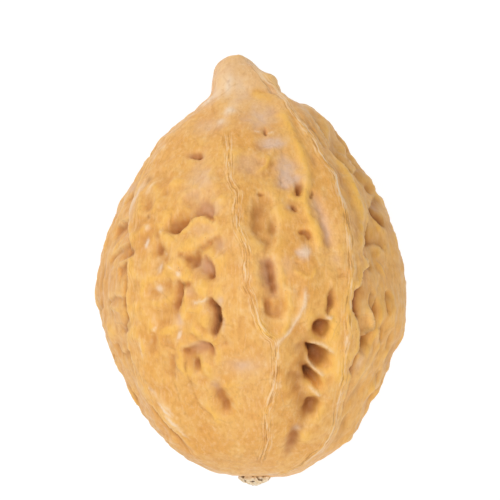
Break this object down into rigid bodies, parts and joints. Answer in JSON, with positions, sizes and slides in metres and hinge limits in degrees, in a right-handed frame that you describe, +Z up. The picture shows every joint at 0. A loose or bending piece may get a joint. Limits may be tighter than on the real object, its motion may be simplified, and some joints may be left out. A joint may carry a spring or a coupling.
{
  "type": "walnut",
  "caption": "Whole walnut in its shell, with a pointed tip, four lengthwise ridges, a dented shell and a dried stalk stub, lying on its side on a small flat spot.",
  "frame": {"origin": "on the resting plane, under the middle of the nut", "axes": "+Y along the nut from the stalk end to the tip, +Z up, away from the flat spot"},
  "size_m": [0.0284, 0.0402, 0.0274],
  "materials": {
    "shell": "smooth, dry, waxed-looking shell in warm ochre",
    "dried_stalk": "crumbly, pale cream with dark brown specks"
  },
  "bodies": {
    "root": {"nut": "shell", "stalk_stub": "dried_stalk"}
  },
  "joints": []
}
